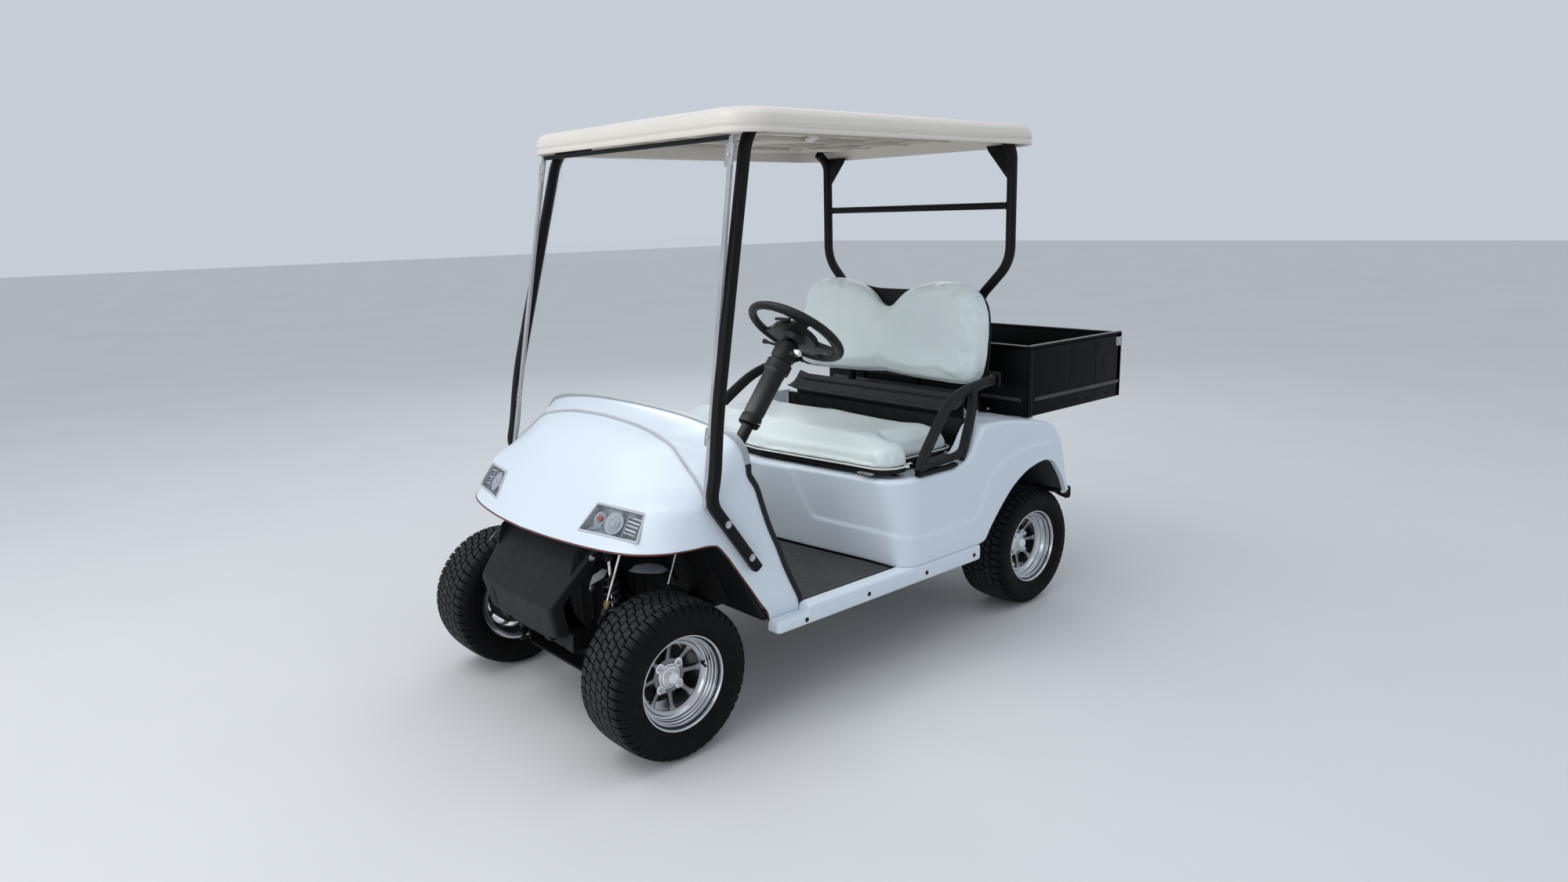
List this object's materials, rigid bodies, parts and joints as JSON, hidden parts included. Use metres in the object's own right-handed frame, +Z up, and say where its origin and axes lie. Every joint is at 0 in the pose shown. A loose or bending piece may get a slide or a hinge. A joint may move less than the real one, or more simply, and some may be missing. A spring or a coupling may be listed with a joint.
{
  "type": "electric cargo cart",
  "caption": "Two-seat electric utility cart with a moulded roof, windshield, white body and a black cargo box behind the seat.",
  "frame": {"origin": "on the ground under the middle of the cart's length, on its centre plane", "axes": "+Z up, +Y towards the cargo box (rear), +X towards the cart's left side"},
  "size_m": [1.2, 2.54, 1.788],
  "materials": {
    "tyre_rubber": "matte, slightly dusty tread",
    "alloy": "machined and polished, clear coated",
    "chrome_plate": "polished plating",
    "zinc_steel": "zinc plated fasteners and rods",
    "black_steel": "satin black powder coat",
    "black_parts": "dark cast and forged running gear",
    "black_plastic": "fine grained black plastic",
    "grey_plastic": "dark grey satin plastic",
    "floor_rubber": "grey ribbed floor mat",
    "body_white": "white gloss body paint with clear coat",
    "roof_cream": "cream satin moulded roof",
    "seat_vinyl": "off-white grained vinyl",
    "clear_glass": "clear windshield",
    "lamp_lens": "clear lamp lens",
    "amber_lens": "amber signal lens",
    "red_lens": "red reflector"
  },
  "bodies": {
    "cart": {"chassis_frame": "black_steel", "front_suspension": "black_steel", "spring_leg_left": "chrome_plate", "spring_leg_right": "chrome_plate", "rear_axle": "black_parts", "drive_motor": "black_parts", "battery_pack": "black_plastic", "floor_pan": "black_plastic", "floor_mat": "floor_rubber", "rocker_left": "body_white", "rocker_right": "body_white", "front_cowl": "body_white", "headlight_left": "lamp_lens", "headlight_right": "lamp_lens", "dash_panel": "black_plastic", "nose_skirt": "grey_plastic", "front_strut_left": "black_steel", "front_strut_right": "black_steel", "windshield": "clear_glass", "rear_strut_frame": "black_steel", "roof_canopy": "roof_cream", "seat_pod_front": "body_white", "body_side_left": "body_white", "body_side_right": "body_white", "rear_deck": "body_white", "rear_bumper": "black_steel", "seat_back": "seat_vinyl", "seat_back_panel": "black_plastic", "seat_tray": "grey_plastic", "armrest_left": "black_steel", "armrest_right": "black_steel", "cargo_box": "black_steel", "steering_column": "black_plastic", "pedals": "black_steel", "cargo_supports": "black_steel"},
    "knuckle_left": {"knuckle_left": "black_parts"},
    "knuckle_right": {"knuckle_right": "black_parts"},
    "wheel_front_left": {"tyre_front_left": "tyre_rubber", "rim_front_left": "alloy"},
    "wheel_front_right": {"tyre_front_right": "tyre_rubber", "rim_front_right": "alloy"},
    "wheel_rear_left": {"tyre_rear_left": "tyre_rubber", "rim_rear_left": "alloy"},
    "wheel_rear_right": {"tyre_rear_right": "tyre_rubber", "rim_rear_right": "alloy"},
    "tie_rod": {"tie_rod": "black_parts"},
    "steering_wheel": {"steering_wheel": "black_plastic"},
    "seat": {"seat_cushion": "seat_vinyl", "seat_board": "black_plastic"},
    "tailgate": {"tailgate": "black_steel"}
  },
  "joints": [
    {"name": "knuckle_left_steer", "type": "hinge", "parent": "cart", "child": "knuckle_left", "pos_m": [0.372, -1.04, 0.23], "axis": [0, 0, 1], "range_deg": [-28, 28]},
    {"name": "knuckle_right_steer", "type": "hinge", "parent": "cart", "child": "knuckle_right", "pos_m": [-0.372, -1.04, 0.23], "axis": [0, 0, 1], "range_deg": [-28, 28]},
    {"name": "wheel_front_left_spin", "type": "hinge", "parent": "knuckle_left", "child": "wheel_front_left", "pos_m": [0.465, -1.04, 0.23], "axis": [1, 0, 0], "continuous": true},
    {"name": "wheel_front_right_spin", "type": "hinge", "parent": "knuckle_right", "child": "wheel_front_right", "pos_m": [-0.465, -1.04, 0.23], "axis": [1, 0, 0], "continuous": true},
    {"name": "wheel_rear_left_spin", "type": "hinge", "parent": "cart", "child": "wheel_rear_left", "pos_m": [0.447, 0.641, 0.23], "axis": [1, 0, 0], "continuous": true},
    {"name": "wheel_rear_right_spin", "type": "hinge", "parent": "cart", "child": "wheel_rear_right", "pos_m": [-0.447, 0.641, 0.23], "axis": [1, 0, 0], "continuous": true},
    {"name": "tie_rod_slide", "type": "slide", "parent": "cart", "child": "tie_rod", "axis": [1, 0, 0], "range_m": [-0.05, 0.05]},
    {"name": "steering_wheel_turn", "type": "hinge", "parent": "cart", "child": "steering_wheel", "pos_m": [0.25, -0.31, 1.12], "axis": [0, 0.6157, 0.788], "range_deg": [-340, 340]},
    {"name": "seat_lift", "type": "hinge", "parent": "cart", "child": "seat", "pos_m": [0, 0.222, 0.69], "axis": [-1, 0, 0], "range_deg": [0, 65]},
    {"name": "tailgate_drop", "type": "hinge", "parent": "cart", "child": "tailgate", "pos_m": [0, 1.27, 0.744], "axis": [-1, 0, 0], "range_deg": [0, 90]}
  ],
  "couplings": [
    {"joint": "knuckle_right_steer", "follows": "knuckle_left_steer", "ratio": 1},
    {"joint": "tie_rod_slide", "follows": "knuckle_left_steer", "m_per_rad": -0.0999},
    {"joint": "steering_wheel_turn", "follows": "knuckle_left_steer", "ratio": 12}
  ]
}
